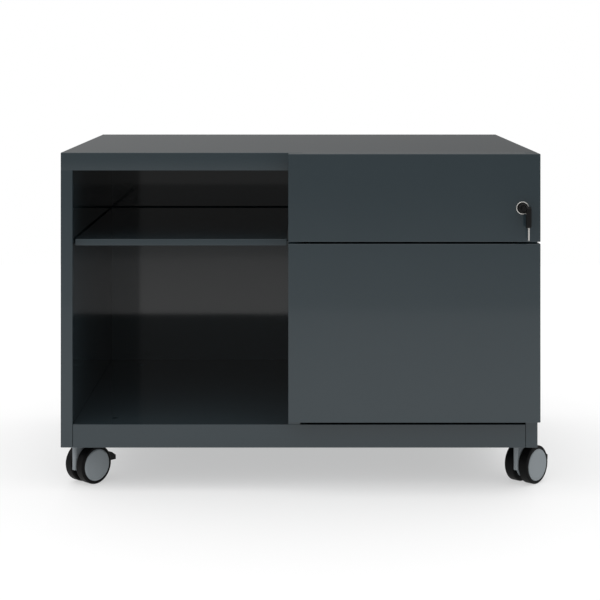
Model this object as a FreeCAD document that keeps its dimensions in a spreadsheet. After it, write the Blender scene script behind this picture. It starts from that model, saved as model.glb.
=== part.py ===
import FreeCAD, Part
import os
import re
import Sketcher
from FreeCAD import Vector

# Rolling pedestal cabinet: a steel caddy with an open shelf bay beside a box drawer
# over a filing drawer, on four twin-wheel casters. Millimetres, +Z up, -Y the front.
# The origin is on the floor below the middle of the carcass.

SIZES = [
    # carcass: a folded sheet box with double-skinned sides
    ("carcass_width", 800), ("carcass_depth", 565), ("carcass_height", 495),
    ("caster_rise", 9), ("sheet", 1), ("side_wall", 20), ("top_rail", 30),
    ("base_rail", 39), ("rail_seam", 0.7), ("seam_depth", 3), ("back_recess", 9),
    ("bay_width", 362), ("partition", 20),
    # shelf in the open bay, and its clips
    ("shelf_drop", 146.5), ("shelf_fold", 11), ("shelf_setback", 12), ("shelf_rear_gap", 21),
    ("shelf_gap", 2.5), ("clip_length", 18), ("clip_ledge", 9), ("clip_sheet", 2),
    ("clip_inset", 70), ("clip_drop", 6),
    # base: fixing holes, caster channels and counterweight
    ("hole_diameter", 10), ("hole_inset", 65), ("stem_front_inset", 49),
    ("stem_rear_inset", 66), ("stem_inset", 24), ("channel_width", 80), ("channel_sheet", 3),
    ("channel_lift", 5), ("channel_overrun", 28), ("weight_gap", 20), ("weight_depth", 80),
    ("weight_height", 20), ("weight_inset", 20),
    # drawer fronts: a deep skin with a narrower box behind it that leaves finger pulls
    ("front_projection", 33), ("skin_depth", 20), ("buffer_gap", 1), ("finger_pull", 22),
    ("box_front_height", 146), ("front_spacing", 3.1), ("shadow_gap", 10.6), ("skin_rim", 6),
    # drawer trays
    ("tray_rear_gap", 37), ("box_brim_drop", 54), ("box_tray_lift", 7),
    ("file_tray_lift", 5), ("file_brim_gap", 29.3), ("hanger_height", 12), ("hanger_sheet", 3),
    # three-member slides
    ("slide_gap", 12.5), ("slide_height", 35), ("slide_sheet", 1.2), ("slide_tail", 6),
    ("slide_setback", 16), ("slide_play", 1), ("slide_lip", 8.5),
    ("box_slide_lift", 19), ("file_slide_lift", 106),
    # lock in the box drawer, its crank and its key
    ("lock_inset", 30), ("lock_drop", 89.5), ("ring_diameter", 21.7), ("ring_proud", 2),
    ("ring_rim", 2.3), ("ring_recess", 1.2), ("barrel_diameter", 18), ("plug_diameter", 12),
    ("running_fit", 0.05), ("crank_radius", 6), ("crank_start", 45), ("crank_sheet", 2.5),
    ("pin_diameter", 4), ("pin_length", 7), ("collar_diameter", 15), ("collar_length", 20.5),
    ("collar_gap", 0.4), ("collar_shoulder", 6), ("neck_diameter", 7), ("grip_gap", 0.4),
    ("grip_thickness", 8), ("grip_drop", 31.5), ("grip_top", 3.2), ("grip_width", 12),
    ("grip_rest", 0.8), ("hinge_diameter", 3), ("blade_thickness", 2.4), ("blade_width", 7.5),
    ("blade_length", 21.7),
    # lock bar in the right side wall
    ("bar_thickness", 3), ("bar_width", 12), ("bar_setback", 3), ("bar_inset", 4),
    ("bar_tail", 18), ("bar_top", 8), ("bar_lift", 8.4), ("tab_sheet", 2),
    ("tab_reach", 8.5), ("tab_height", 13), ("slot_play", 0.5), ("finger_height", 6),
    ("finger_reach", 8), ("catch_height", 6), ("catch_gap", 4), ("catch_sheet", 2),
    ("catch_setback", 20), ("box_catch_drop", 7), ("file_catch_drop", 42.6),
    ("guide_play", 0.4), ("guide_height", 8), ("guide_clear", 12), ("guide_wall", 1.5),
    # casters
    ("wheel_diameter", 65), ("wheel_width", 18), ("wheel_gap", 10.5), ("caster_trail", 20.7),
    ("caster_heading", -42.5), ("core_width", 9.5), ("boss_reach", 12.5), ("core_drop", 6.5),
    ("core_inset", 8), ("core_round", 4), ("swivel_diameter", 26), ("swivel_height", 4),
    ("swivel_gap", 3.5), ("stem_diameter", 7), ("stem_clear", 1.5), ("stem_collar", 7.6),
    ("stem_gap", 0.3), ("rivet_height", 5), ("axle_diameter", 6), ("tread_rim", 5.5),
    ("cap_recess", 4), ("cap_dome", 1.2), ("cap_bevel", 2), ("cap_fit", 0.2),
    ("tread_bevel", 2), ("axle_end_gap", 0.3),
    # brake levers on the two front casters, measured from the wheel's centre
    ("brake_slot", 6.5), ("brake_play", 0.5), ("brake_reach", 17), ("brake_rise", 3.5),
    ("brake_root", 8), ("brake_pin", 4), ("pedal_gap", 2.5), ("pedal_length", 22),
    ("pedal_width", 12), ("pedal_top", 10.1), ("pedal_bottom", 3.7), ("pedal_slope", 13),
    ("tip_top", 3.8), ("tip_bottom", 3.9),
]

PLACES = {
    "left": "-carcass_width / 2", "right": "carcass_width / 2",
    "front": "-carcass_depth / 2", "back": "carcass_depth / 2",
    "foot": "wheel_diameter + caster_rise", "crown": "foot + carcass_height",
    "soffit": "crown - top_rail", "floor_top": "foot + base_rail",
    "bay_left": "left + side_wall", "bay_right": "bay_left + bay_width",
    "cell_left": "bay_right + partition", "cell_right": "right - side_wall",
    "back_face": "back - back_recess - sheet",
    "shelf_top": "crown - shelf_drop", "shelf_foot": "shelf_top - shelf_fold",
    "shelf_front": "front + shelf_setback", "shelf_back": "back_face - shelf_rear_gap",
    "hole_left": "bay_left + hole_inset", "hole_right": "cell_right - hole_inset",
    "stem_front": "front + stem_front_inset", "stem_rear": "back - stem_rear_inset",
    "channel_start": "stem_front - channel_overrun", "channel_end": "stem_rear + channel_overrun",
    "web_low": "foot + channel_lift", "web_high": "web_low + channel_sheet",
    "face": "front - front_projection", "skin_back": "face + skin_depth",
    "liner_back": "front - buffer_gap",
    "pull_left": "bay_right + finger_pull", "pull_right": "right - finger_pull",
    "box_foot": "crown - box_front_height", "file_crown": "box_foot - front_spacing",
    "file_foot": "floor_top + shadow_gap",
    "tray_left": "cell_left + slide_gap", "tray_right": "cell_right - slide_gap",
    "tray_back": "back_face - tray_rear_gap",
    "box_tray_foot": "box_foot + box_tray_lift", "box_brim": "crown - box_brim_drop",
    "file_tray_foot": "file_foot + file_tray_lift", "file_brim": "file_crown - file_brim_gap",
    "slide_start": "front + slide_setback", "slide_end": "tray_back - slide_tail",
    "lock_x": "right - lock_inset", "lock_z": "crown - lock_drop",
    "plug_front": "face - ring_proud - collar_gap",
    "key_hinge": "plug_front - collar_shoulder - grip_rest - grip_width / 2",
    "pin_drop": "crank_radius * sin(crank_start * 1deg)",
    "bar_left": "cell_right + bar_inset", "bar_right": "bar_left + bar_thickness",
    "bar_front": "front + bar_setback", "bar_back": "bar_front + bar_width",
    "tab_foot": "lock_z - pin_drop - tab_height / 2",
    "box_catch": "box_brim - box_catch_drop", "file_catch": "file_brim - file_catch_drop",
    "box_finger": "box_catch - catch_gap - finger_height",
    "file_finger": "file_catch - catch_gap - finger_height",
    "bar_foot": "file_finger - bar_tail", "bar_head": "box_finger + finger_height + bar_top",
    "wheel_radius": "wheel_diameter / 2", "swivel_top": "foot - swivel_gap",
    "swivel_foot": "swivel_top - swivel_height", "core_top": "swivel_foot + swivel_height / 2",
    "collar_foot": "swivel_top + stem_gap", "stem_foot": "wheel_radius + stem_clear",
    "brake_level": "wheel_radius + brake_rise",
    "pedal_start": "caster_trail + wheel_radius + pedal_gap",
    "pedal_end": "pedal_start + pedal_length",
}

doc = FreeCAD.newDocument("pedestal")
sheet = doc.addObject("Spreadsheet::Sheet", "Dims")
for row, (alias, value) in enumerate(SIZES, start=1):
    sheet.set(f"A{row}", alias)
    sheet.set(f"B{row}", str(value))
    sheet.setAlias(f"B{row}", alias)
doc.recompute()
ALIASES = {alias for alias, value in SIZES}
nodes = {}


def formula(text):
    """The text with each named place opened out and each size read from the sheet."""
    def expand(match):
        word = match.group(0)
        if word in PLACES:
            return "(" + formula(PLACES[word]) + ")"
        return "Dims." + word if word in ALIASES else word
    return re.sub(r"[a-z]+(_[a-z]+)*", expand, str(text))


def node(label, shape):
    """Give a finished sub-part its name, which is also the name of its file."""
    shape.Label = label
    nodes[label] = shape
    return shape


# ---- Part primitives and booleans ------------------------------------------------------

def block(x, y, z):
    """A box between two formulas along each axis."""
    box = doc.addObject("Part::Box", "block")
    for axis, length, (low, high) in zip("xyz", ("Length", "Width", "Height"), (x, y, z)):
        box.setExpression(length, formula(f"({high}) - ({low})"))
        box.setExpression("Placement.Base." + axis, formula(low))
    return box


def rod(axis, centre, reach, diameter):
    """A cylinder along an axis, centred on the other two, between two formulas."""
    cylinder = doc.addObject("Part::Cylinder", "rod")
    turns = {"x": (Vector(0, 1, 0), 90), "y": (Vector(1, 0, 0), -90), "z": (Vector(0, 0, 1), 0)}
    cylinder.Placement.Rotation = FreeCAD.Rotation(*turns[axis])
    cylinder.setExpression("Radius", formula(f"({diameter}) / 2"))
    cylinder.setExpression("Height", formula(f"({reach[1]}) - ({reach[0]})"))
    others = [other for other in "xyz" if other != axis]
    cylinder.setExpression("Placement.Base." + axis, formula(reach[0]))
    for other, place in zip(others, centre):
        cylinder.setExpression("Placement.Base." + other, formula(place))
    return cylinder


def fuse(*shapes):
    joined = doc.addObject("Part::MultiFuse", "fuse")
    joined.Shapes = list(shapes)
    return joined


def cut(base, *tools):
    result = doc.addObject("Part::Cut", "cut")
    result.Base = base
    result.Tool = tools[0] if len(tools) == 1 else fuse(*tools)
    return result


def group(*shapes):
    """Separate solids that share one node."""
    compound = doc.addObject("Part::Compound", "group")
    compound.Links = list(shapes)
    return compound


# ---- PartDesign bodies -----------------------------------------------------------------

def new_body(label):
    return node(label, doc.addObject("PartDesign::Body", label))


def sketch_on(body, role, offset="0"):
    """A sketch on one of the body's own origin planes, moved along its normal."""
    plane = [part for part in body.Origin.OriginFeatures if part.Role == role][0]
    sketch = body.newObject("Sketcher::SketchObject", "sketch")
    sketch.AttachmentSupport = [(plane, "")]
    sketch.MapMode = "FlatFace"
    sketch.setExpression("AttachmentOffset.Base.z", formula(offset))
    return sketch


def outline(sketch, corners):
    """A closed outline whose corners are pairs of formulas from the sketch's origin."""
    first = len(sketch.Geometry)
    count = len(corners)
    doc.recompute()
    marks = []
    for corner in corners:
        # the start position comes from the sheet, so that each constraint keeps its side
        marks.append(Vector(*[measure(text) for text in corner], 0))
    for index in range(count):
        sketch.addGeometry(Part.LineSegment(marks[index], marks[(index + 1) % count]), False)
    for index in range(count):
        following = first + (index + 1) % count
        sketch.addConstraint(Sketcher.Constraint("Coincident", first + index, 2, following, 1))
    for index, corner in enumerate(corners):
        for kind, text, value in zip(("DistanceX", "DistanceY"), corner, marks[index]):
            fix(sketch, kind, first + index, 1, text, value)


def circle(sketch, centre, diameter):
    middle = Vector(measure(centre[0]), measure(centre[1]), 0)
    ring = sketch.addGeometry(Part.Circle(middle, Vector(0, 0, 1), measure(diameter) / 2), False)
    size = sketch.addConstraint(Sketcher.Constraint("Diameter", ring, measure(diameter)))
    sketch.setExpression(f"Constraints[{size}]", formula(diameter))
    fix(sketch, "DistanceX", ring, 3, centre[0], middle.x)
    fix(sketch, "DistanceY", ring, 3, centre[1], middle.y)


def fix(sketch, kind, shape, point, text, value):
    """Hold one point at a formula from the origin, or on the axis where it is zero."""
    if str(text) == "0":
        axis = -2 if kind == "DistanceX" else -1
        sketch.addConstraint(Sketcher.Constraint("PointOnObject", shape, point, axis))
        return
    held = sketch.addConstraint(Sketcher.Constraint(kind, -1, 1, shape, point, value))
    sketch.setExpression(f"Constraints[{held}]", formula(text))


def measure(text):
    """The number that a formula gives now."""
    value = sheet.evalExpression(formula(text).replace("Dims.", ""))
    return float(getattr(value, "Value", value))


def pad(body, sketch, length, middle=False, reverse=False):
    feature = body.newObject("PartDesign::Pad", "pad")
    feature.Profile = sketch
    feature.setExpression("Length", formula(length))
    feature.Midplane = middle
    feature.Reversed = reverse
    doc.recompute()
    return feature


def pocket(body, sketch, length, middle=False, reverse=False):
    """A pocket that is refused if it takes nothing away."""
    before = body.Shape.Volume
    feature = body.newObject("PartDesign::Pocket", "pocket")
    feature.Profile = sketch
    feature.setExpression("Length", formula(length))
    feature.Midplane = middle
    feature.Reversed = reverse
    doc.recompute()
    if not body.Shape.Volume < before:
        raise RuntimeError(f"a pocket in {body.Label} cuts nothing")
    return feature


def round_edges(body, radius, wanted):
    """Round the edges of the last feature that the test picks."""
    feature = body.Tip
    edges = [f"Edge{number}" for number, edge in enumerate(feature.Shape.Edges, start=1)
             if wanted(edge)]
    fillet = body.newObject("PartDesign::Fillet", "rounding")
    fillet.Base = (feature, edges)
    fillet.setExpression("Radius", formula(radius))
    doc.recompute()
    return fillet


def runs_along(edge, direction):
    """True of a straight edge that lies along a direction."""
    if edge.Curve.TypeId != "Part::GeomLine":
        return False
    return abs(edge.Curve.Direction.dot(direction)) > 0.999


# ---- carcass ---------------------------------------------------------------------------

def side_panel(label, outer, inner, extra=()):
    """Outer skin of a side, folded round at the front, back and bottom."""
    low, high = (outer, inner) if label.startswith("left") else (inner, outer)
    skin_side = (f"{low} + sheet", high) if label.startswith("left") else (low, f"{high} - sheet")
    shell = block((low, high), ("front", "back"), ("foot", "soffit"))
    hollow = block(skin_side, ("front + sheet", "back - sheet"), ("foot + sheet", "soffit"))
    panel = cut(shell, hollow)
    return node(label, fuse(panel, *extra) if extra else panel)


def carcass_top():
    """Top panel, folded down all round, closed below by a flat soffit."""
    shell = block(("left", "right"), ("front", "back"), ("soffit", "crown"))
    hollow = block(("left + sheet", "right - sheet"), ("front + sheet", "back - sheet"),
                   ("soffit", "crown - sheet"))
    node("carcass_top", cut(shell, hollow))
    node("top_soffit", block(("left + sheet", "right - sheet"), ("front + sheet", "back - sheet"),
                             ("soffit", "soffit + sheet")))


def side_liners():
    """Inner skins of the two sides. The right one is slotted for the lock bar's tabs."""
    depth = ("front + sheet", "back - sheet")
    height = ("foot + sheet", "soffit")
    node("left_side_liner", block(("bay_left - sheet", "bay_left"), depth, height))
    plain = block(("cell_right", "cell_right + sheet"), depth, height)
    wide = ("cell_right - sheet", "cell_right + 2 * sheet")
    long = ("bar_front - guide_play", "bar_back + guide_play")
    slots = []
    for low, high in (("tab_foot", "tab_foot + tab_height"),
                      ("box_finger", "box_finger + finger_height"),
                      ("file_finger", "file_finger + finger_height")):
        slots.append(block(wide, long, (f"{low} - 1", f"{high} + bar_lift + 1")))
    node("right_side_liner", cut(plain, *slots))


def base_pan():
    """Floor pan with its front rail. Its four holes take bolts through the floor."""
    shell = block(("bay_left", "cell_right"), ("front", "back - sheet"), ("foot", "floor_top"))
    hollow = block(("bay_left + sheet", "cell_right - sheet"), ("front + sheet", "back - 2 * sheet"),
                   ("foot", "floor_top - sheet"))
    tools = [hollow]
    for low, high in (("bay_left", "bay_left + rail_seam"), ("cell_right - rail_seam", "cell_right")):
        tools.append(block((low, high), ("front", "front + seam_depth"), ("foot", "floor_top")))
    for low, high in (("bay_left", "bay_left + sheet"), ("cell_right - sheet", "cell_right")):
        tools.append(block((low, high), ("channel_start", "channel_end"),
                           ("foot", "web_high + rivet_height")))
    for x in ("hole_left", "hole_right"):
        for y in ("stem_front", "stem_rear"):
            tools.append(rod("z", (x, y), ("floor_top - 2 * sheet", "floor_top + sheet"),
                             "hole_diameter"))
    node("base_pan", cut(shell, *tools))


def back_panel():
    node("back_panel", block(("bay_left", "cell_right"), ("back_face", "back_face + sheet"),
                             ("floor_top", "soffit")))


def centre_partition():
    """Folded wall between the bay and the drawers, open at its back edge."""
    shell = block(("bay_right", "cell_left"), ("front", "back_face"), ("floor_top", "soffit"))
    hollow = block(("bay_right + sheet", "cell_left - sheet"), ("front + sheet", "back_face"),
                   ("floor_top", "soffit"))
    node("centre_partition", cut(shell, hollow))


def shelf():
    """Loose shelf with folded edges, resting on four clips."""
    shell = block(("bay_left + shelf_gap", "bay_right - shelf_gap"),
                  ("shelf_front", "shelf_back"),
                  ("shelf_foot", "shelf_top"))
    hollow = block(("bay_left + shelf_gap + sheet", "bay_right - shelf_gap - sheet"),
                   ("shelf_front + sheet", "shelf_back - sheet"),
                   ("shelf_foot", "shelf_top - sheet"))
    node("shelf", cut(shell, hollow))
    clips = []
    for y in ("shelf_front + clip_inset", "shelf_back - clip_inset"):
        run = (f"{y} - clip_length / 2", f"{y} + clip_length / 2")
        rise = ("shelf_foot - clip_sheet", "shelf_foot")
        tall = ("shelf_foot - clip_drop", "shelf_foot + clip_sheet")
        clips.append(fuse(block(("bay_left", "bay_left + clip_ledge"), run, rise),
                          block(("bay_left", "bay_left + clip_sheet"), run, tall)))
        clips.append(fuse(block(("bay_right - clip_ledge", "bay_right"), run, rise),
                          block(("bay_right - clip_sheet", "bay_right"), run, tall)))
    node("shelf_clips", group(*clips))


def caster_channels():
    """Folded angles under the floor that carry the caster stems."""
    channels = []
    run = ("channel_start", "channel_end")
    for side in (1, -1):
        if side == 1:
            web = ("bay_left", "bay_left + channel_width")
            wall = ("bay_left + channel_width - channel_sheet", "bay_left + channel_width")
            stem, hole = "left + stem_inset", "hole_left"
        else:
            web = ("cell_right - channel_width", "cell_right")
            wall = ("cell_right - channel_width", "cell_right - channel_width + channel_sheet")
            stem, hole = "right - stem_inset", "hole_right"
        angle = fuse(block(web, run, ("web_low", "web_high")),
                     block(wall, run, ("web_low", "floor_top - sheet")))
        bores = []
        for y in ("stem_front", "stem_rear"):
            bores.append(rod("z", (stem, y), ("web_low - 1", "web_high + 1"), "stem_diameter"))
            bores.append(rod("z", (hole, y), ("web_low - 1", "web_high + 1"), "hole_diameter"))
        channels.append(cut(angle, *bores))
    node("caster_channels", group(*channels))


def counterweight():
    """Steel slab under the floor at the back, which keeps open drawers from tipping it."""
    slab = new_body("counterweight")
    plan = sketch_on(slab, "XY_Plane", "floor_top - sheet")
    low = "bay_left + channel_width + weight_gap"
    high = "cell_right - channel_width - weight_gap"
    near, far = "back - weight_inset - weight_depth", "back - weight_inset"
    outline(plan, [(low, near), (high, near), (high, far), (low, far)])
    pad(slab, plan, "weight_height", reverse=True)


# ---- slides and drawers ----------------------------------------------------------------

def channel_section(side, base, depth, height, length, z):
    """A C channel that stands on a wall at x = base and opens away from it."""
    reach = (base, f"({base}) + ({depth})") if side == 1 else (f"({base}) - ({depth})", base)
    shell = block(reach, length, (f"({z}) - ({height}) / 2", f"({z}) + ({height}) / 2"))
    inside = (f"({base}) + slide_sheet", f"({base}) + ({depth})")
    if side == -1:
        inside = (f"({base}) - ({depth})", f"({base}) - slide_sheet")
    hollow = block(inside, length, (f"({z}) - ({height}) / 2 + slide_sheet",
                                    f"({z}) + ({height}) / 2 - slide_sheet"))
    return cut(shell, hollow)


def slides():
    """Full-extension slides: fixed, middle and drawer members for each drawer."""
    fixed = []
    length = ("slide_start", "slide_end")
    for name, z in (("box", "box_tray_foot + box_slide_lift"),
                    ("file", "file_tray_foot + file_slide_lift")):
        middle, inner = [], []
        for side, wall in ((1, "cell_left"), (-1, "cell_right")):
            sign = "+" if side == 1 else "-"
            fixed.append(channel_section(side, wall, "slide_lip + slide_sheet", "slide_height",
                                         length, z))
            rest = f"{wall} {sign} (slide_sheet + slide_play)"
            middle.append(channel_section(side, rest, "slide_lip - slide_play",
                                          "slide_height - 2 * (slide_sheet + slide_play)",
                                          length, z))
            tray_side = f"{wall} {sign} slide_gap"
            inner.append(channel_section(-side, tray_side,
                                         "slide_gap - 3 * slide_sheet - 2 * slide_play",
                                         "slide_height - 4 * (slide_sheet + slide_play)",
                                         length, z))
        node(f"{name}_slide_middle_members", group(*middle))
        node(f"{name}_slide_drawer_members", group(*inner))
    node("slide_cabinet_members", group(*fixed))


def tray(name, notch=None):
    """Folded drawer tray, open at the top, with a catch tab on its right side."""
    low, high, catch = f"{name}_tray_foot", f"{name}_brim", f"{name}_catch"
    shell = block(("tray_left", "tray_right"), ("liner_back", "tray_back"), (low, high))
    hollow = block(("tray_left + sheet", "tray_right - sheet"),
                   ("liner_back + sheet", "tray_back - sheet"), (f"{low} + sheet", f"{high} + 1"))
    box = cut(shell, hollow, notch) if notch else cut(shell, hollow)
    hook = block(("tray_right", "cell_right - catch_sheet"),
                 ("front + catch_setback", "front + catch_setback + catch_sheet"),
                 (catch, f"{catch} + catch_height"))
    node(f"{name}_drawer_tray", fuse(box, hook))


def drawer_front(name, low, high, bore=None):
    """Deep outer skin with returned edges, and the narrower box between it and the tray."""
    shell = block(("bay_right", "right"), ("face", "skin_back"), (low, high))
    hollow = block(("bay_right + sheet", "right - sheet"), ("face + sheet", "skin_back - sheet"),
                   (f"{low} + sheet", f"{high} - sheet"))
    mouth = block(("pull_left + skin_rim", "pull_right - skin_rim"),
                  ("skin_back - 2 * sheet", "skin_back + sheet"),
                  (f"{low} + skin_rim", f"{high} - skin_rim"))
    tools = [hollow, mouth] + ([bore()] if bore else [])
    node(f"{name}_drawer_front", cut(shell, *tools))
    backing = block(("pull_left", "pull_right"), ("skin_back", "liner_back"), (low, high))
    inside = block(("pull_left + sheet", "pull_right - sheet"), ("skin_back", "liner_back - sheet"),
                   (f"{low} + sheet", f"{high} - sheet"))
    tools = [inside] + ([bore()] if bore else [])
    node(f"{name}_front_backing", cut(backing, *tools))


def drawers():
    notch = block(("lock_x - crank_radius - 1", "tray_right + 1"),
                  ("liner_back - 1", "front + 8 * sheet"),
                  ("lock_z - crank_radius - 5", "lock_z + crank_radius + 5"))
    tray("box", notch)
    tray("file")
    drawer_front("box", "box_foot", "crown", lambda: rod(
        "y", ("lock_x", "lock_z"), ("face - 1", "liner_back + 1"), "barrel_diameter"))
    drawer_front("file", "file_foot", "file_crown")
    run = ("liner_back + sheet", "tray_back - sheet")
    node("file_hanger_rails", group(
        block(("tray_left + sheet", "tray_left + sheet + hanger_sheet"), run,
              ("file_brim - hanger_height", "file_brim")),
        block(("tray_right - sheet - hanger_sheet", "tray_right - sheet"), run,
              ("file_brim - hanger_height", "file_brim"))))


# ---- lock ------------------------------------------------------------------------------

def lock_housing():
    """Chromed ring and barrel fixed in the box drawer's front."""
    housing = new_body("lock_housing")
    lathe = sketch_on(housing, "XY_Plane", "lock_z")
    bore = "plug_diameter / 2 + running_fit"
    rim = "lock_x + ring_diameter / 2 - ring_rim"
    outline(lathe, [("lock_x + " + bore, "face - ring_proud + ring_recess"),
                    (rim, "face - ring_proud + ring_recess"),
                    (rim, "face - ring_proud"),
                    ("lock_x + ring_diameter / 2", "face - ring_proud"),
                    ("lock_x + ring_diameter / 2", "face"),
                    ("lock_x + barrel_diameter / 2", "face"),
                    ("lock_x + barrel_diameter / 2", "liner_back"),
                    ("lock_x + " + bore, "liner_back")])
    spin_about_lock(housing, lathe)


def spin_about_lock(body, lathe):
    """Turn a profile about the lock's own axis."""
    axis = lathe.addGeometry(Part.LineSegment(Vector(measure("lock_x"), 0, 0),
                                              Vector(measure("lock_x"), -100, 0)), True)
    lathe.addConstraint(Sketcher.Constraint("Vertical", axis))
    fix(lathe, "DistanceX", axis, 1, "lock_x", measure("lock_x"))
    feature = body.newObject("PartDesign::Revolution", "turning")
    feature.Profile = lathe
    feature.ReferenceAxis = (lathe, ["Axis0"])
    feature.Angle = 360
    doc.recompute()


def lock_plug():
    """Turning plug, and the crank behind it whose pin lifts the lock bar."""
    plug = new_body("lock_plug")
    end = sketch_on(plug, "XZ_Plane", "-(plug_front)")
    circle(end, ("lock_x", "lock_z"), "plug_diameter")
    pad(plug, end, "liner_back - plug_front", reverse=True)
    web = ("liner_back", "liner_back + crank_sheet")
    pin_x = "lock_x + crank_radius * cos(crank_start * 1deg)"
    pin_z = "lock_z - pin_drop"
    arm = fuse(rod("y", ("lock_x", "lock_z"), web, "plug_diameter - 1"),
               rod("y", (pin_x, pin_z), web, "pin_diameter + 1"),
               rod("y", (pin_x, pin_z), ("liner_back", "liner_back + crank_sheet + pin_length"),
                   "pin_diameter"))
    node("lock_crank", arm)


def key():
    """Black key collar in the lock, with a folding grip hinged beside its neck."""
    collar = new_body("key_collar")
    end = sketch_on(collar, "XZ_Plane", "-(plug_front)")
    circle(end, ("lock_x", "lock_z"), "collar_diameter")
    pad(collar, end, "collar_shoulder")
    neck = sketch_on(collar, "XZ_Plane", "-(plug_front)")
    circle(neck, ("lock_x", "lock_z"), "neck_diameter")
    pad(collar, neck, "collar_length")
    pin = sketch_on(collar, "YZ_Plane", "lock_x")
    circle(pin, ("key_hinge", "lock_z"), "hinge_diameter")
    pad(collar, pin, "neck_diameter / 2 + grip_gap + grip_thickness")
    grip = new_body("key_grip")
    side = sketch_on(grip, "YZ_Plane", "lock_x + neck_diameter / 2 + grip_gap")
    low = "lock_z - grip_drop"
    near, far = "key_hinge - grip_width / 2", "key_hinge + grip_width / 2"
    outline(side, [(near, low), (far, low), (far, "lock_z + grip_top"),
                   (near, "lock_z + grip_top")])
    pad(grip, side, "grip_thickness")
    round_edges(grip, "grip_width / 4", lambda edge: runs_along(edge, Vector(1, 0, 0)))
    bore = sketch_on(grip, "YZ_Plane", "lock_x + neck_diameter / 2")
    circle(bore, ("key_hinge", "lock_z"), "hinge_diameter + 2 * running_fit")
    pocket(grip, bore, "grip_thickness + 2", reverse=True)
    blade = new_body("key_blade")
    middle = "lock_x + (neck_diameter + grip_thickness) / 2 + grip_gap"
    flat = sketch_on(blade, "YZ_Plane", middle)
    near, far = "key_hinge - blade_width / 2", "key_hinge + blade_width / 2"
    outline(flat, [(near, low), (near, f"{low} - blade_length"), (far, f"{low} - blade_length"),
                   (far, low)])
    pad(blade, flat, "blade_thickness", middle=True)


def lock_bar():
    """Bar in the right side wall: one slotted tab meets the crank, two fingers lock drawers."""
    stem = block(("bar_left", "bar_right"), ("bar_front", "bar_back"), ("bar_foot", "bar_head"))
    tip = "cell_right - tab_reach"
    tab = block((tip, "bar_right"), ("bar_front", "bar_front + tab_sheet"),
                ("tab_foot", "tab_foot + tab_height"))
    slot = block((f"{tip} - 1", "cell_right - slot_play"),
                 ("bar_front - 1", "bar_front + tab_sheet + 1"),
                 ("lock_z - pin_drop - pin_diameter / 2 - slot_play",
                  "lock_z - pin_drop + pin_diameter / 2 + slot_play"))
    fingers = []
    for foot in ("box_finger", "file_finger"):
        fingers.append(block(("cell_right - finger_reach", "bar_right"),
                             ("bar_front + tab_sheet + 1", "bar_back"),
                             (foot, f"{foot} + finger_height")))
    node("lock_bar", fuse(stem, cut(tab, slot), *fingers))


def bar_guides():
    """Formed loops on the right side panel that the lock bar slides in."""
    loops = []
    for z in ("file_finger + finger_height + bar_lift + guide_clear",
              "tab_foot - guide_clear - guide_height"):
        ring = block(("bar_left - guide_wall", "right - sheet"),
                     ("bar_front - guide_wall", "bar_back + guide_play + guide_wall"),
                     (z, f"{z} + guide_height"))
        way = block(("bar_left - guide_play", "bar_right + guide_play"),
                    ("bar_front - guide_play", "bar_back + guide_play"),
                    (f"{z} - 1", f"{z} + guide_height + 1"))
        loops.append(cut(ring, way))
    ledge = block(("bar_left", "right - sheet"), ("bar_front", "bar_back"),
                  ("bar_foot - guide_play - 4", "bar_foot - guide_play"))
    return loops + [ledge]


# ---- casters ---------------------------------------------------------------------------

def place_caster(shape, x, y):
    """Move a piece from the caster's own frame, its stem's axis at the origin."""
    heading = FreeCAD.Rotation(Vector(0, 0, 1), measure("caster_heading"))
    shape.Placement = FreeCAD.Placement(Vector(0, 0, 0), heading)
    shape.setExpression("Placement.Base.x", formula(x))
    shape.setExpression("Placement.Base.y", formula(y))


def caster_housing(label, x, y, braked):
    """Moulded core between the wheels, with its swivel seat and bores."""
    housing = new_body(label)
    profile = sketch_on(housing, "YZ_Plane")
    low = "wheel_radius - core_drop"
    outline(profile, [("-boss_reach", low), ("caster_trail", low), ("caster_trail", "core_top"),
                      ("-boss_reach", "core_top")])
    pad(housing, profile, "core_width", middle=True)
    round_edges(housing, "core_round", lambda edge: runs_along(edge, Vector(0, 0, 1))
                and edge.Curve.Location.y < 0)
    disc = sketch_on(housing, "YZ_Plane")
    circle(disc, ("caster_trail", "wheel_radius"), "wheel_diameter - 2 * core_inset")
    pad(housing, disc, "core_width", middle=True)
    seat = sketch_on(housing, "XY_Plane", "swivel_foot")
    circle(seat, ("0", "0"), "swivel_diameter")
    pad(housing, seat, "swivel_height")
    bore = sketch_on(housing, "XY_Plane", "swivel_top")
    circle(bore, ("0", "0"), "stem_diameter + 2 * running_fit")
    pocket(housing, bore, "swivel_top - stem_foot + stem_clear")
    axle = sketch_on(housing, "YZ_Plane")
    circle(axle, ("caster_trail", "wheel_radius"), "axle_diameter")
    pocket(housing, axle, "core_width + 2", middle=True)
    if braked:
        slot = sketch_on(housing, "YZ_Plane")
        near = "caster_trail + brake_reach - brake_root / 2 - 2"
        far = "caster_trail + wheel_diameter"
        outline(slot, [(near, "-1"), (far, "-1"), (far, "brake_level + brake_root"),
                       (near, "brake_level + brake_root")])
        pocket(housing, slot, "brake_slot", middle=True)
        pivot = sketch_on(housing, "YZ_Plane")
        circle(pivot, ("caster_trail + brake_reach", "brake_level"), "brake_pin + 2 * running_fit")
        pocket(housing, pivot, "core_width + 2", middle=True)
    place_caster(housing, x, y)


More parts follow.
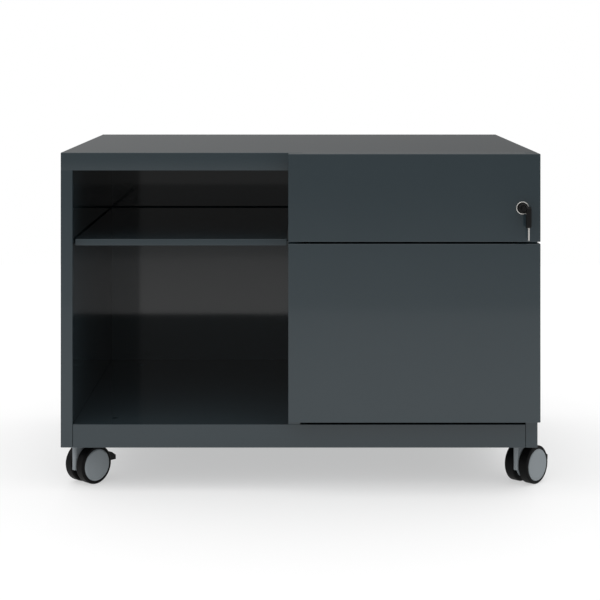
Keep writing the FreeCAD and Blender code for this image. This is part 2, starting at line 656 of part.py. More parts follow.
def brake_lever(label, x, y):
    """Rocking pedal behind the housing, with moulded pivots in the housing's cheeks."""
    lever = new_body(label)
    hub = sketch_on(lever, "YZ_Plane")
    circle(hub, ("caster_trail + brake_reach", "brake_level"), "brake_root")
    pad(lever, hub, "brake_slot - 2 * brake_play", middle=True)
    arm = sketch_on(lever, "YZ_Plane")
    low, high = "wheel_radius - pedal_bottom", "wheel_radius + pedal_top"
    outline(arm, [("caster_trail + brake_reach", "brake_level - brake_root / 3"),
                  ("pedal_start + 1", f"{low} + 1"), ("pedal_start + 1", f"{high} - 1"),
                  ("caster_trail + brake_reach", "brake_level + brake_root / 3")])
    pad(lever, arm, "brake_slot - 2 * brake_play", middle=True)
    pivot = sketch_on(lever, "YZ_Plane")
    circle(pivot, ("caster_trail + brake_reach", "brake_level"), "brake_pin")
    pad(lever, pivot, "core_width - 0.4", middle=True)
    pedal = sketch_on(lever, "YZ_Plane")
    outline(pedal, [("pedal_start", low), ("pedal_end", "wheel_radius - tip_bottom"),
                    ("pedal_end", "wheel_radius + tip_top"),
                    ("pedal_start + pedal_slope", high), ("pedal_start", high)])
    pad(lever, pedal, "pedal_width", middle=True)
    place_caster(lever, x, y)


def caster_axle(label, x, y):
    axle = new_body(label)
    profile = sketch_on(axle, "YZ_Plane")
    circle(profile, ("caster_trail", "wheel_radius"), "axle_diameter")
    pad(axle, profile, "wheel_gap + 2 * (wheel_width - cap_recess) - 2 * axle_end_gap", middle=True)
    place_caster(axle, x, y)


def turn_about_axle(body, side, profile):
    """Revolve a profile of (distance out from the middle, radius) about the axle."""
    lathe = sketch_on(body, "XY_Plane", "wheel_radius")
    sign = "" if side == 1 else "-"
    outline(lathe, [(f"{sign}({out})", f"caster_trail + {radius}") for out, radius in profile])
    line = Part.LineSegment(Vector(-40, measure("caster_trail"), 0),
                            Vector(40, measure("caster_trail"), 0))
    axis = lathe.addGeometry(line, True)
    lathe.addConstraint(Sketcher.Constraint("Horizontal", axis))
    fix(lathe, "DistanceY", axis, 1, "caster_trail", measure("caster_trail"))
    feature = body.newObject("PartDesign::Revolution", "turning")
    feature.Profile = lathe
    feature.ReferenceAxis = (lathe, ["Axis0"])
    feature.Angle = 360
    doc.recompute()


def caster_wheel(label, x, y, side):
    """Hard tread wheel, with a recess in its outer face for the hub cap."""
    wheel = new_body(f"{label}_wheel")
    inner, outer = "wheel_gap / 2", "wheel_gap / 2 + wheel_width"
    recess = f"{outer} - cap_recess"
    bore = "axle_diameter / 2 + running_fit"
    turn_about_axle(wheel, side, [
        (inner, bore), (inner, "wheel_radius - tread_bevel"),
        (f"{inner} + tread_bevel", "wheel_radius"), (f"{outer} - tread_bevel", "wheel_radius"),
        (outer, "wheel_radius - tread_bevel"), (outer, "wheel_radius - tread_rim"),
        (recess, "wheel_radius - tread_rim"), (recess, bore)])
    place_caster(wheel, x, y)
    cap = new_body(f"{label}_hub_cap")
    rim = "wheel_radius - tread_rim - cap_fit"
    turn_about_axle(cap, side, [
        (recess, "0"), (recess, rim), (outer, rim), (f"{outer} + cap_dome", f"{rim} - cap_bevel"),
        (f"{outer} + cap_dome", "0")])
    place_caster(cap, x, y)


def casters():
    stems = []
    for depth_name, y in (("front", "stem_front"), ("rear", "stem_rear")):
        for side_name, x in (("left", "left + stem_inset"), ("right", "right - stem_inset")):
            label = f"{depth_name}_{side_name}_caster"
            caster_housing(f"{label}_housing", x, y, depth_name == "front")
            if depth_name == "front":
                brake_lever(f"{label}_brake", x, y)
            caster_axle(f"{label}_axle", x, y)
            caster_wheel(f"{label}_near", x, y, 1)
            caster_wheel(f"{label}_far", x, y, -1)
            stems.append(fuse(
                rod("z", (x, y), ("stem_foot", "web_high + rivet_height"), "stem_diameter"),
                rod("z", (x, y), ("collar_foot", "web_low"), "stem_collar"),
                rod("z", (x, y), ("web_high", "web_high + rivet_height"), "stem_collar")))
    node("caster_stems", group(*stems))


side_panel("left_side_panel", "left", "bay_left")
side_panel("right_side_panel", "right", "cell_right", bar_guides())
carcass_top()
side_liners()
base_pan()
back_panel()
centre_partition()
shelf()
caster_channels()
counterweight()
slides()
drawers()
lock_housing()
lock_plug()
key()
lock_bar()
casters()
doc.recompute()

for item in doc.Objects:
    if "Invalid" in item.State or "Error" in item.State:
        raise RuntimeError(f"{item.Label} ({item.Name}) is {item.State}")
os.makedirs("parts", exist_ok=True)
for label, shape in nodes.items():
    if shape.Shape.isNull() or not shape.Shape.isValid() or not shape.Shape.Solids:
        raise RuntimeError(f"{label} has no sound shape")
    shape.Shape.exportStep(f"parts/{label}.step")
    box = shape.Shape.BoundBox
    print(f"{label:34s} {len(shape.Shape.Solids)} solids {shape.Shape.Volume / 1000:9.1f} cm3 "
          f"x {box.XMin:.1f} {box.XMax:.1f} y {box.YMin:.1f} {box.YMax:.1f} "
          f"z {box.ZMin:.1f} {box.ZMax:.1f}")
print(len(nodes), "nodes")
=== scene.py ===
import math

import bmesh
import bpy
from mathutils import Matrix, Vector


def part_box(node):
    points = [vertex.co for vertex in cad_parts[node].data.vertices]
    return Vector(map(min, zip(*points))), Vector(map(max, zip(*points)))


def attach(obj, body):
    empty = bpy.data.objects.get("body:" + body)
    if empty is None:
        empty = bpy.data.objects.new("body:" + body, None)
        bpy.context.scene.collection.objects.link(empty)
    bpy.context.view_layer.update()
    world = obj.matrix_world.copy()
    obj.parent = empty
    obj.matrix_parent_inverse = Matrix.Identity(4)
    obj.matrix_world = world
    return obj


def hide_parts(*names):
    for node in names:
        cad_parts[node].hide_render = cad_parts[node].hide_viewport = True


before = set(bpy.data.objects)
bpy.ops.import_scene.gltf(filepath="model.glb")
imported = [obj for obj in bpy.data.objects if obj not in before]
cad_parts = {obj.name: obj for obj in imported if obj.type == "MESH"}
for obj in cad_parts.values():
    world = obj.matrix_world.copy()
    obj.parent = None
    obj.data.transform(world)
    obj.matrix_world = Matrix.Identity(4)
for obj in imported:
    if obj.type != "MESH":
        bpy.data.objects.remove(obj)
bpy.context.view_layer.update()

# ---- Camera ----------------------------------------------------------------------------
# A level camera on the cabinet's middle line, above its top. Verticals stay upright, and
# the lens is shifted down so that the whole cabinet is in view.
top_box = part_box("carcass_top")
lens_length, sensor_width, downward_shift, furthest_seen = 94.6, 36.0, -0.417, 60.0
eye_right, eye_distance, eye_rise = 0.0015, 2.644, 0.1723
camera_data = bpy.data.cameras.new("camera")
camera_data.lens = lens_length
camera_data.sensor_width = sensor_width
camera_data.shift_y = downward_shift
camera_data.clip_end = furthest_seen
camera = bpy.data.objects.new("camera", camera_data)
camera.location = (eye_right, top_box[0].y - eye_distance, top_box[1].z + eye_rise)
camera.rotation_euler = (math.radians(90), 0.0, 0.0)
bpy.context.scene.collection.objects.link(camera)
bpy.context.scene.camera = camera

# ---- Carcass: top, sides, soffit, liners, back and partition ---------------------------
# Cold-rolled steel sheet, folded on a press brake and spot welded, then powder coated
# anthracite. The folds have a small outside radius, and flush joints are filled by paint.


def linear(code):
    """An sRGB hex colour as linear red, green, blue and alpha."""
    channels = [int(code[place:place + 2], 16) / 255 for place in (0, 2, 4)]
    return [c / 12.92 if c <= 0.04045 else ((c + 0.055) / 1.055) ** 2.4 for c in channels] + [1.0]


def add_node(tree, kind, settings, links=()):
    """One node with its settings, and its inputs linked from other nodes' sockets."""
    node = tree.nodes.new(kind)
    for name, value in settings.items():
        if isinstance(name, str) and name not in node.inputs:
            setattr(node, name, value)
        else:
            node.inputs[name].default_value = value
    for name, socket in dict(links).items():
        tree.links.new(socket, node.inputs[name])
    return node


def new_material(name):
    """An empty material: its node tree, its shader, and its Object coordinates."""
    material = bpy.data.materials.new(name)
    material.use_nodes = True
    tree = material.node_tree
    tree.nodes.clear()
    shader = add_node(tree, "ShaderNodeBsdfPrincipled", {})
    add_node(tree, "ShaderNodeOutputMaterial", {}, {"Surface": shader.outputs[0]})
    place = add_node(tree, "ShaderNodeTexCoord", {}).outputs["Object"]
    return material, tree, shader, place


def powder_coat(name, dark, light, smooth, rough):
    """Polyester powder coat: glossy, so that reflections show, and softened by orange peel."""
    material, tree, shader, place = new_material(name)
    # The bumps of the orange peel are 2.4 mm apart. The patches, 140 mm wide, are slow changes
    # of tint and gloss, and the waves, 220 mm wide, are sheet that isn't perfectly flat.
    peel_size, patch_size, wave_size, paint_ior = 0.0024, 0.14, 0.22, 1.5
    patches = add_node(tree, "ShaderNodeTexNoise", {"Scale": 1 / patch_size, "Detail": 3.0},
                       {"Vector": place})
    tint = add_node(tree, "ShaderNodeMix", {"data_type": "RGBA", 6: linear(dark), 7: linear(light)},
                    {0: patches.outputs[0]})
    gloss = add_node(tree, "ShaderNodeMapRange", {"To Min": smooth, "To Max": rough},
                     {"Value": patches.outputs[0]})
    peel = add_node(tree, "ShaderNodeTexNoise", {"Scale": 1 / peel_size, "Detail": 2.0},
                    {"Vector": place})
    wave = add_node(tree, "ShaderNodeTexNoise", {"Scale": 1 / wave_size, "Detail": 0.0},
                    {"Vector": place})
    flatness = add_node(tree, "ShaderNodeBump", {"Strength": 0.35, "Distance": 0.0004},
                        {"Height": wave.outputs[0]})
    texture = add_node(tree, "ShaderNodeBump", {"Strength": 0.12, "Distance": 0.00005},
                       {"Height": peel.outputs[0], "Normal": flatness.outputs[0]})
    shader.inputs["IOR"].default_value = paint_ior
    tree.links.new(tint.outputs[2], shader.inputs["Base Color"])
    tree.links.new(gloss.outputs[0], shader.inputs["Roughness"])
    tree.links.new(texture.outputs[0], shader.inputs["Normal"])
    return material


def finish_mesh(name, mesh_data, material, body, nodes=()):
    """Make the finished piece, shade it smooth between its folds, and fix it to its body."""
    smooth_below = math.radians(40)
    mesh = bpy.data.meshes.new(name)
    bmesh.ops.recalc_face_normals(mesh_data, faces=mesh_data.faces)
    mesh_data.to_mesh(mesh)
    mesh_data.free()
    mesh.shade_smooth()
    mesh.set_sharp_from_angle(angle=smooth_below)
    mesh.materials.append(material)
    piece = bpy.data.objects.new(name, mesh)
    bpy.context.scene.collection.objects.link(piece)
    piece.modifiers.new("even shading", "WEIGHTED_NORMAL").keep_sharp = True
    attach(piece, body)
    if nodes:
        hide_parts(*nodes)
    return piece


def round_sharp(mesh_data, radius, segments, wanted):
    """Bevel the sharp edges that the test picks."""
    sharp_above = math.radians(30)
    sharp = [edge for edge in mesh_data.edges
             if len(edge.link_faces) == 2 and edge.calc_face_angle() > sharp_above
             and wanted(edge)]
    bmesh.ops.bevel(mesh_data, geom=sharp, offset=radius, offset_type="OFFSET", segments=segments,
                    profile=0.5, affect="EDGES", clamp_overlap=True, material=-1)


def node_mesh(node):
    """A merged copy of a CAD node's mesh, with its flat faces made whole."""
    same_point, flat_within = 1e-6, math.radians(0.5)
    mesh_data = bmesh.new()
    mesh_data.from_mesh(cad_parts[node].data)
    bmesh.ops.remove_doubles(mesh_data, verts=mesh_data.verts, dist=same_point)
    bmesh.ops.dissolve_limit(mesh_data, angle_limit=flat_within, verts=mesh_data.verts,
                             edges=mesh_data.edges)
    return mesh_data


def formed(node, name, material, body, fold, edge_radius, joint=None):
    """A folded sheet piece: wide folds on its outer corners, and broken edges elsewhere.
    joint is a height where it meets another piece flush, and is left square there."""
    mesh_data = node_mesh(node)
    low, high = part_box(node)
    on_plane = 1e-5

    def planes(edge):
        """The outer planes of the node that the edge lies in."""
        found = 0
        for axis in range(3):
            for limit in (low[axis], high[axis]):
                if all(abs(v.co[axis] - limit) < on_plane for v in edge.verts):
                    found += 1
        return found

    def free(edge):
        return joint is None or any(abs(v.co.z - joint) > on_plane for v in edge.verts)

    if fold:
        round_sharp(mesh_data, fold, 4, lambda edge: free(edge) and planes(edge) >= 2)
    round_sharp(mesh_data, edge_radius, 2, lambda edge: free(edge) and planes(edge) < 2)
    return finish_mesh(name, mesh_data, material, body, [node])


sheet_fold, broken_edge = 0.0012, 0.0002
anthracite = powder_coat("anthracite powder coat", "2b363b", "2e393e", 0.05, 0.08)
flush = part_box("top_soffit")[0].z
formed("carcass_top", "top_panel", anthracite, "carcass", sheet_fold,
       broken_edge, flush)
for side in ("left", "right"):
    formed(f"{side}_side_panel", f"{side}_side", anthracite, "carcass",
           sheet_fold, broken_edge, flush)
    formed(f"{side}_side_liner", f"{side}_liner", anthracite, "carcass", 0,
           broken_edge)
formed("top_soffit", "soffit", anthracite, "carcass", 0, broken_edge)
formed("back_panel", "back", anthracite, "carcass", 0, broken_edge)
partition_fold = 0.0006
formed("centre_partition", "partition", anthracite, "carcass", 0, partition_fold)

# ---- Base: floor pan, caster channels, counterweight and stems -------------------------
# The floor pan is folded from one sheet, with four bolt holes. Two painted steel angles under
# it carry the riveted caster stems, and a cast bar at the back keeps the cabinet from tipping.


def plated_steel(name, colour, smooth, rough):
    """Zinc-plated or nickel-plated steel: a soft metallic shine with a faint cloudiness."""
    # The clouds are 18 mm wide. The plating's grain is too fine to show, so it is drawn as
    # coarse as 0.9 mm.
    material, tree, shader, place = new_material(name)
    cloud_size, grain_size = 0.018, 0.0009
    clouds = add_node(tree, "ShaderNodeTexNoise", {"Scale": 1 / cloud_size, "Detail": 4.0},
                      {"Vector": place})
    gloss = add_node(tree, "ShaderNodeMapRange", {"To Min": smooth, "To Max": rough},
                     {"Value": clouds.outputs[0]})
    grain = add_node(tree, "ShaderNodeTexNoise", {"Scale": 1 / grain_size, "Detail": 2.0},
                     {"Vector": place})
    texture = add_node(tree, "ShaderNodeBump", {"Strength": 0.06, "Distance": 0.00002},
                       {"Height": grain.outputs[0]})
    shader.inputs["Base Color"].default_value = linear(colour)
    shader.inputs["Metallic"].default_value = 1.0
    tree.links.new(gloss.outputs[0], shader.inputs["Roughness"])
    tree.links.new(texture.outputs[0], shader.inputs["Normal"])
    return material


def cast_iron(name):
    """Raw grey iron: dull and pitted, with the skin of its sand mould."""
    material, tree, shader, place = new_material(name)
    # Moulding sand is finer than this, and is drawn at 1.1 mm so that it shows.
    sand_size, dullness = 0.0011, 0.6
    sand = add_node(tree, "ShaderNodeTexNoise", {"Scale": 1 / sand_size, "Detail": 5.0},
                    {"Vector": place})
    skin = add_node(tree, "ShaderNodeBump", {"Strength": 0.5, "Distance": 0.0002},
                    {"Height": sand.outputs[0]})
    shader.inputs["Base Color"].default_value = linear("4a4a4b")
    shader.inputs["Metallic"].default_value = 1.0
    shader.inputs["Roughness"].default_value = dullness
    tree.links.new(skin.outputs[0], shader.inputs["Normal"])
    return material


def turned(profile, origin, along, steps, closed=True):
    """A piece turned from a profile of (distance along its axis, radius), in metres."""
    same_point = 1e-7
    mesh_data = bmesh.new()
    origin, along = Vector(origin), Vector(along).normalized()
    across = along.orthogonal().normalized()
    ring = [mesh_data.verts.new(origin + along * distance + across * radius)
            for distance, radius in profile]
    for first, second in zip(ring, ring[1:] + ring[:1] if closed else ring[1:]):
        mesh_data.edges.new((first, second))
    bmesh.ops.spin(mesh_data, geom=mesh_data.verts[:] + mesh_data.edges[:], cent=origin,
                   axis=along, dvec=(0, 0, 0), angle=math.tau, steps=steps, use_merge=True)
    bmesh.ops.remove_doubles(mesh_data, verts=mesh_data.verts, dist=same_point)
    bmesh.ops.recalc_face_normals(mesh_data, faces=mesh_data.faces)
    return mesh_data


zinc = plated_steel("zinc-plated steel", "aeb2b5", 0.24, 0.36)
iron = cast_iron("raw cast iron")
pan_fold, angle_fold, plate_edge, cast_edge = 0.0008, 0.001, 0.0003, 0.002
formed("base_pan", "floor_pan", anthracite, "carcass", pan_fold, broken_edge)
formed("caster_channels", "caster_angles", anthracite, "carcass", angle_fold,
       plate_edge)
formed("counterweight", "counterweight_bar", iron, "carcass", cast_edge, cast_edge)
stem_x, stem_front, stem_rear = 0.376, -0.2335, 0.2165
stem_radius, collar_radius, rivet_round, stem_steps = 0.0035, 0.0038, 0.002, 48
stem_foot, collar_foot, collar_top, web_top, rivet_top = 0.034, 0.0708, 0.079, 0.082, 0.087
stems = bmesh.new()
for x in (-stem_x, stem_x):
    for y in (stem_front, stem_rear):
        stem = turned([(stem_foot, 0), (stem_foot, stem_radius), (collar_foot, stem_radius),
                       (collar_foot, collar_radius), (collar_top, collar_radius),
                       (collar_top, stem_radius), (web_top, stem_radius),
                       (web_top, collar_radius), (rivet_top - rivet_round, collar_radius),
                       (rivet_top, collar_radius - rivet_round), (rivet_top, 0)],
                      (x, y, 0), (0, 0, 1), stem_steps, closed=False)
        round_sharp(stem, plate_edge, 2, lambda edge: True)
        part = bpy.data.meshes.new("stem")
        stem.to_mesh(part)
        stem.free()
        stems.from_mesh(part)
        bpy.data.meshes.remove(part)
finish_mesh("turned_stems", stems, zinc, "carcass", ["caster_stems"])

# ---- Shelf and its clips ---------------------------------------------------------------
# The shelf is a sheet with all four edges folded down, and it lies loose on four small
# angle clips that hang on the bay's walls.
formed("shelf", "shelf_sheet", anthracite, "carcass", sheet_fold, broken_edge)
formed("shelf_clips", "clips", anthracite, "carcass", 0, plate_edge)

# ---- Slides ----------------------------------------------------------------------------
# Each drawer runs on a pair of full-extension slides of roll-formed, zinc-plated strip: one
# member on the cabinet, one between, and one on the drawer.
formed("slide_cabinet_members", "cabinet_members", zinc, "carcass", 0, plate_edge)
for drawer in ("box", "file"):
    formed(f"{drawer}_slide_middle_members", f"{drawer}_middle_members", zinc,
           f"{drawer}_slide_middle", 0, plate_edge)
    formed(f"{drawer}_slide_drawer_members", f"{drawer}_drawer_members", zinc,
           f"{drawer}_drawer", 0, plate_edge)

# ---- Drawers ---------------------------------------------------------------------------
# Folded trays with pressed fronts, powder coated like the carcass. Each front is a deep skin
# over a narrower box, so that both of its ends leave a finger pull.
tray_fold, rail_edge = 0.0006, 0.0004
for drawer in ("box", "file"):
    formed(f"{drawer}_drawer_tray", f"{drawer}_tray", anthracite, f"{drawer}_drawer",
           tray_fold, broken_edge)
    formed(f"{drawer}_drawer_front", f"{drawer}_front_skin", anthracite, f"{drawer}_drawer",
           sheet_fold, broken_edge)
    formed(f"{drawer}_front_backing", f"{drawer}_backing", anthracite, f"{drawer}_drawer",
           tray_fold, broken_edge)
formed("file_hanger_rails", "hanger_rails", zinc, "file_drawer", 0, rail_edge)

# ---- Lock, its key and its bar ---------------------------------------------------------
# A cam lock with a bright nickel ring. Its recessed face is a thin black disc, a painted reflection:
# it stands for the dark reflection in the ring. The key has a moulded black collar, a folding grip
# hinged beside the collar's neck, and a cut nickel blade.


def moulded(name, dark, light, smooth, rough, spark_size, ior):
    """Moulded nylon: satin, with the fine spark texture of its mould."""
    # The texture is too fine to show, so it is drawn as coarse as 0.5 to 0.8 mm. The tint and
    # gloss drift slowly, over 20 mm. Nylon's IOR is 1.53, and a lower one holds back the sheen.
    material, tree, shader, place = new_material(name)
    flow_size = 0.02
    flow = add_node(tree, "ShaderNodeTexNoise", {"Scale": 1 / flow_size, "Detail": 3.0},
                    {"Vector": place})
    tint = add_node(tree, "ShaderNodeMix", {"data_type": "RGBA", 6: linear(dark), 7: linear(light)},
                    {0: flow.outputs[0]})
    gloss = add_node(tree, "ShaderNodeMapRange", {"To Min": smooth, "To Max": rough},
                     {"Value": flow.outputs[0]})
    spark = add_node(tree, "ShaderNodeTexNoise", {"Scale": 1 / spark_size, "Detail": 2.0},
                     {"Vector": place})
    texture = add_node(tree, "ShaderNodeBump", {"Strength": 0.2, "Distance": 0.00004},
                       {"Height": spark.outputs[0]})
    shader.inputs["IOR"].default_value = ior
    tree.links.new(tint.outputs[2], shader.inputs["Base Color"])
    tree.links.new(gloss.outputs[0], shader.inputs["Roughness"])
    tree.links.new(texture.outputs[0], shader.inputs["Normal"])
    return material


nickel = plated_steel("bright nickel plate", "eceae6", 0.20, 0.28)
black = moulded("black moulded nylon", "060607", "0a0b0b", 0.34, 0.46, 0.0006, 1.3)
lock_x, lock_z = 0.370, 0.4795
face, liner, plug_front = -0.3155, -0.2835, -0.3179
ring_front, ring_recess = -0.3175, -0.3163
ring_radius, rim_radius, barrel_radius, plug_radius, gap = 0.01085, 0.0088, 0.009, 0.006, 0.00005
inner_slope, outer_slope, outer_drop, ring_edge, disc_sheet = 0.0003, 0.0004, 0.0007, 0.00015, 0.0003
axis, ring_steps, plug_steps = ((lock_x, 0, lock_z), (0, 1, 0)), 96, 64
ring = turned([(ring_recess, plug_radius + gap), (ring_recess, rim_radius),
               (ring_front, rim_radius + inner_slope), (ring_front, ring_radius - outer_slope),
               (ring_front + outer_drop, ring_radius), (face, ring_radius), (face, barrel_radius),
               (liner, barrel_radius), (liner, plug_radius + gap)], *axis, ring_steps)
round_sharp(ring, ring_edge, 2, lambda edge: True)
finish_mesh("lock_ring_and_barrel", ring, nickel, "box_drawer", ["lock_housing"])
# Painted reflection: a thin black sheet laid in the ring's recess, where the nickel shows a dark
# reflection.
disc_lift = 0.00001
disc_front, disc_back = ring_recess - disc_sheet, ring_recess - disc_lift
disc = turned([(disc_front, plug_radius + gap), (disc_front, rim_radius),
               (disc_back, rim_radius), (disc_back, plug_radius + gap)], *axis, ring_steps)
finish_mesh("painted_reflection_disc", disc, black, "box_drawer")
plug_slope = 0.0004
plug = turned([(plug_front, 0), (plug_front, plug_radius - plug_slope),
               (plug_front + plug_slope, plug_radius), (liner, plug_radius), (liner, 0)], *axis,
              plug_steps, closed=False)
finish_mesh("turning_plug", plug, nickel, "lock_plug_and_key", ["lock_plug"])
formed("lock_crank", "crank", zinc, "lock_plug_and_key", 0, plate_edge)
collar_radius, shoulder, neck_radius, neck_front = 0.0075, 0.006, 0.0035, 0.0205
collar_slope, collar_edge, grip_edge = 0.0015, 0.0005, 0.0012
collar = turned([(plug_front, 0), (plug_front, collar_radius),
                 (plug_front - shoulder + collar_slope, collar_radius),
                 (plug_front - shoulder, collar_radius - collar_slope),
                 (plug_front - shoulder, neck_radius), (plug_front - neck_front, neck_radius),
                 (plug_front - neck_front, 0)], *axis, plug_steps, closed=False)
round_sharp(collar, collar_edge, 3, lambda edge: True)
hinge_y, hinge_radius, grip_high, hinge_steps = -0.3307, 0.0015, 0.3819, 32
pin = turned([(lock_x, 0), (lock_x, hinge_radius), (grip_high - plate_edge, hinge_radius),
              (grip_high, hinge_radius - plate_edge), (grip_high, 0)], (0, hinge_y, lock_z), (1, 0, 0),
             hinge_steps, closed=False)
pin_mesh = bpy.data.meshes.new("pin")
pin.to_mesh(pin_mesh)
pin.free()
collar.from_mesh(pin_mesh)
bpy.data.meshes.remove(pin_mesh)
finish_mesh("collar_and_hinge", collar, black, "lock_plug_and_key",
            ["key_collar"])
formed("key_grip", "folding_grip", black, "key_grip_and_blade", 0, grip_edge)
blade_low, blade_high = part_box("key_blade")
cut_depths = (0.0, 0.0014, 0.0008, 0.0021, 0.0011, 0.0017, 0.0006, 0.0)
tip_rise, tip_slope, blade_edge, cut_start, cut_end = 0.0015, 0.002, 0.00012, 0.25, 0.65
pitch = (blade_high.z - blade_low.z - 2 * tip_rise) / len(cut_depths)
edge_points = [(blade_low.y, blade_high.z), (blade_low.y, blade_low.z + tip_rise),
               (blade_low.y + tip_slope, blade_low.z), (blade_high.y - tip_slope, blade_low.z)]
for cut, depth in enumerate(cut_depths):
    foot = blade_low.z + tip_rise + cut * pitch
    edge_points += [(blade_high.y - depth, foot + cut_start * pitch),
                    (blade_high.y - depth, foot + cut_end * pitch)]
edge_points.append((blade_high.y, blade_high.z))
blade = bmesh.new()
side_face = blade.faces.new([blade.verts.new((blade_low.x, y, z)) for y, z in edge_points])
swept = bmesh.ops.extrude_face_region(blade, geom=[side_face])
bmesh.ops.translate(blade, vec=(blade_high.x - blade_low.x, 0, 0),
                    verts=[v for v in swept["geom"] if isinstance(v, bmesh.types.BMVert)])
blade.faces.ensure_lookup_table()
bmesh.ops.recalc_face_normals(blade, faces=blade.faces)
round_sharp(blade, blade_edge, 2, lambda edge: True)
finish_mesh("cut_blade", blade, nickel, "key_grip_and_blade", ["key_blade"])
formed("lock_bar", "locking_bar", zinc, "lock_bar", 0, plate_edge)

# ---- Casters ---------------------------------------------------------------------------
# Twin-wheel casters of moulded nylon: a grey core that swivels on its stem, black treads and
# grey hub caps pressed into their outer faces. The front two have a foot brake.
grey = moulded("grey moulded nylon", "7d8488", "858c90", 0.40, 0.52, 0.0005, 1.45)
tread = moulded("black nylon tread", "040405", "070808", 0.50, 0.62, 0.0008, 1.22)
heading = math.radians(-42.5)
axle = Vector((math.cos(heading), math.sin(heading), 0))
trail_length = 0.0207
trail = Vector((-math.sin(heading), math.cos(heading), 0)) * trail_length
wheel_radius, wheel_in, wheel_out = 0.0325, 0.00525, 0.02325
shoulder, bore_radius, axle_radius, axle_half = 0.002, 0.00305, 0.003, 0.01895
cap_radius, recess, cap_gap, dome, cap_bevel = 0.027, 0.004, 0.0002, 0.0012, 0.002
moulded_edge, wheel_edge, wheel_steps, pin_steps = 0.0006, 0.0005, 128, 48
for end, y in (("front", stem_front), ("rear", stem_rear)):
    for side, x in (("left", -stem_x), ("right", stem_x)):
        caster = f"{end}_{side}_caster"
        centre = Vector((x, y, wheel_radius)) + trail
        formed(f"{caster}_housing", f"{caster}_core", grey, caster, 0,
               moulded_edge)
        pin = turned([(-axle_half, 0), (-axle_half, axle_radius), (axle_half, axle_radius),
                      (axle_half, 0)], centre, axle, pin_steps, closed=False)
        round_sharp(pin, plate_edge, 2, lambda edge: True)
        finish_mesh(f"{caster}_pin", pin, zinc, caster, [f"{caster}_axle"])
        for which, along in (("near", axle), ("far", -axle)):
            wheel = turned([(wheel_in, bore_radius), (wheel_in, wheel_radius - shoulder),
                            (wheel_in + shoulder, wheel_radius),
                            (wheel_out - shoulder, wheel_radius),
                            (wheel_out, wheel_radius - shoulder), (wheel_out, cap_radius),
                            (wheel_out - recess, cap_radius), (wheel_out - recess, bore_radius)],
                           centre, along, wheel_steps)
            round_sharp(wheel, wheel_edge, 3, lambda edge: True)
            finish_mesh(f"{caster}_{which}_tread", wheel, tread, f"{caster}_{which}_wheel",
                        [f"{caster}_{which}_wheel"])
            cap = turned([(wheel_out - recess, 0), (wheel_out - recess, cap_radius - cap_gap),
                          (wheel_out, cap_radius - cap_gap),
                          (wheel_out + dome, cap_radius - cap_gap - cap_bevel),
                          (wheel_out + dome, 0)], centre, along, wheel_steps, closed=False)
            round_sharp(cap, wheel_edge, 3, lambda edge: True)
            finish_mesh(f"{caster}_{which}_cap", cap, grey, f"{caster}_{which}_wheel",
                        [f"{caster}_{which}_hub_cap"])
        if end == "front":
            formed(f"{caster}_brake", f"{caster}_pedal", black, f"{caster}_brake",
                   0, moulded_edge)

# ---- Studio ----------------------------------------------------------------------------
# A white floor of matt paper, in a white room. The paper glows, which is painted light: it lifts the
# cabinet's shadow and lights the cabinet from below. The room is bright overhead and dimmer towards
# its horizon, so that the painted sheet keeps its depth.
paper, tree, shader, place = new_material("white paper with painted glow")
shader.inputs["Base Color"].default_value = linear("c0c0c0")
shader.inputs["Roughness"].default_value = 1.0
shader.inputs["Specular IOR Level"].default_value = 0.0
shader.inputs["Emission Color"].default_value = linear("ffffff")
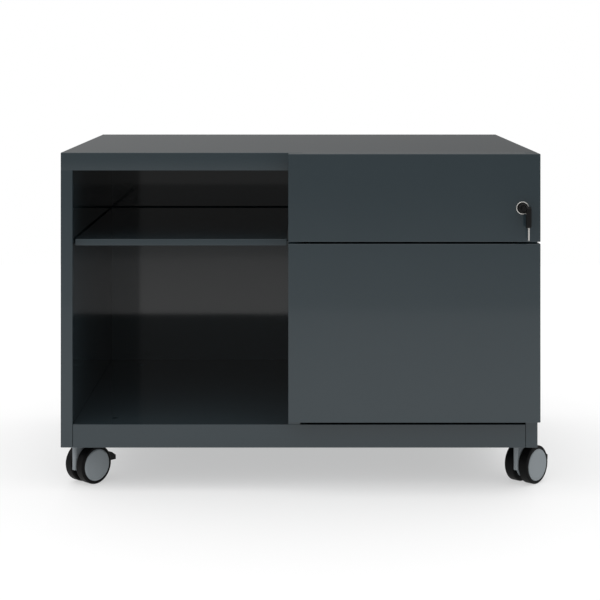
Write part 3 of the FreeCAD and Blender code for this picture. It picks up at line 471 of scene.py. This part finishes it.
# Painted light: the paper glows more under and behind the cabinet than in front of it, which washes
# out the cabinet's shadow.
across_floor = add_node(tree, "ShaderNodeSeparateXYZ", {}, {0: place})
painted_glow = add_node(tree, "ShaderNodeMapRange", {"From Min": -2.2, "From Max": -1.0, "To Min": 0.26,
                                             "To Max": 0.48}, {"Value": across_floor.outputs[1]})
tree.links.new(painted_glow.outputs[0], shader.inputs["Emission Strength"])
paper_half_width, paper_half_depth, paper_middle = 3.0, 2.35, 0.15
sweep = bmesh.new()
bmesh.ops.create_grid(sweep, x_segments=1, y_segments=1, size=1.0,
                      matrix=Matrix.Diagonal((paper_half_width, paper_half_depth, 1.0, 1.0)))
bmesh.ops.translate(sweep, vec=(0, paper_middle, 0), verts=sweep.verts)
floor_mesh = bpy.data.meshes.new("floor")
sweep.to_mesh(floor_mesh)
sweep.free()
floor_mesh.materials.append(paper)
floor = bpy.data.objects.new("floor", floor_mesh)
bpy.context.scene.collection.objects.link(floor)

world = bpy.data.worlds.new("studio")
world.use_nodes = True
tree = world.node_tree
room = tree.nodes["Background"]
room.inputs["Color"].default_value = linear("ffffff")
heading_in_room = add_node(tree, "ShaderNodeTexCoord", {}).outputs["Generated"]
split = add_node(tree, "ShaderNodeSeparateXYZ", {}, {0: heading_in_room})
# The room is brighter in front than behind, and at the left than the right. Light from
# overhead and from below is added to that.
horizon = add_node(tree, "ShaderNodeMapRange", {"From Min": -0.6, "From Max": 0.6, "To Min": 0.35,
                                                "To Max": 0.18}, {"Value": split.outputs[1]})
drift = add_node(tree, "ShaderNodeMapRange", {"From Min": -0.25, "From Max": 0.25, "To Min": 1.22,
                                              "To Max": 0.80}, {"Value": split.outputs[0]})
level = add_node(tree, "ShaderNodeMath", {"operation": "MULTIPLY"},
                 {0: horizon.outputs[0], 1: drift.outputs[0]})
overhead = add_node(tree, "ShaderNodeMapRange", {"interpolation_type": "SMOOTHSTEP",
                                                 "From Min": 0.12, "From Max": 0.6,
                                                 "To Min": 0.0, "To Max": 1.0},
                    {"Value": split.outputs[2]})
below = add_node(tree, "ShaderNodeMapRange", {"interpolation_type": "SMOOTHSTEP",
                                              "From Min": -0.07, "From Max": -0.17,
                                              "To Min": 0.0, "To Max": 0.36},
                 {"Value": split.outputs[2]})
above = add_node(tree, "ShaderNodeMath", {"operation": "ADD"},
                 {0: level.outputs[0], 1: overhead.outputs[0]})
lit = add_node(tree, "ShaderNodeMath", {"operation": "ADD"},
               {0: above.outputs[0], 1: below.outputs[0]})
# The room itself is seen as plain white.
seen = add_node(tree, "ShaderNodeLightPath", {}).outputs["Is Camera Ray"]
strength = add_node(tree, "ShaderNodeMix", {"data_type": "FLOAT", 3: 1.0},
                    {0: seen, 2: lit.outputs[0]})
tree.links.new(strength.outputs[0], room.inputs["Strength"])
bpy.context.scene.world = world
bpy.context.scene.view_settings.view_transform = "Standard"
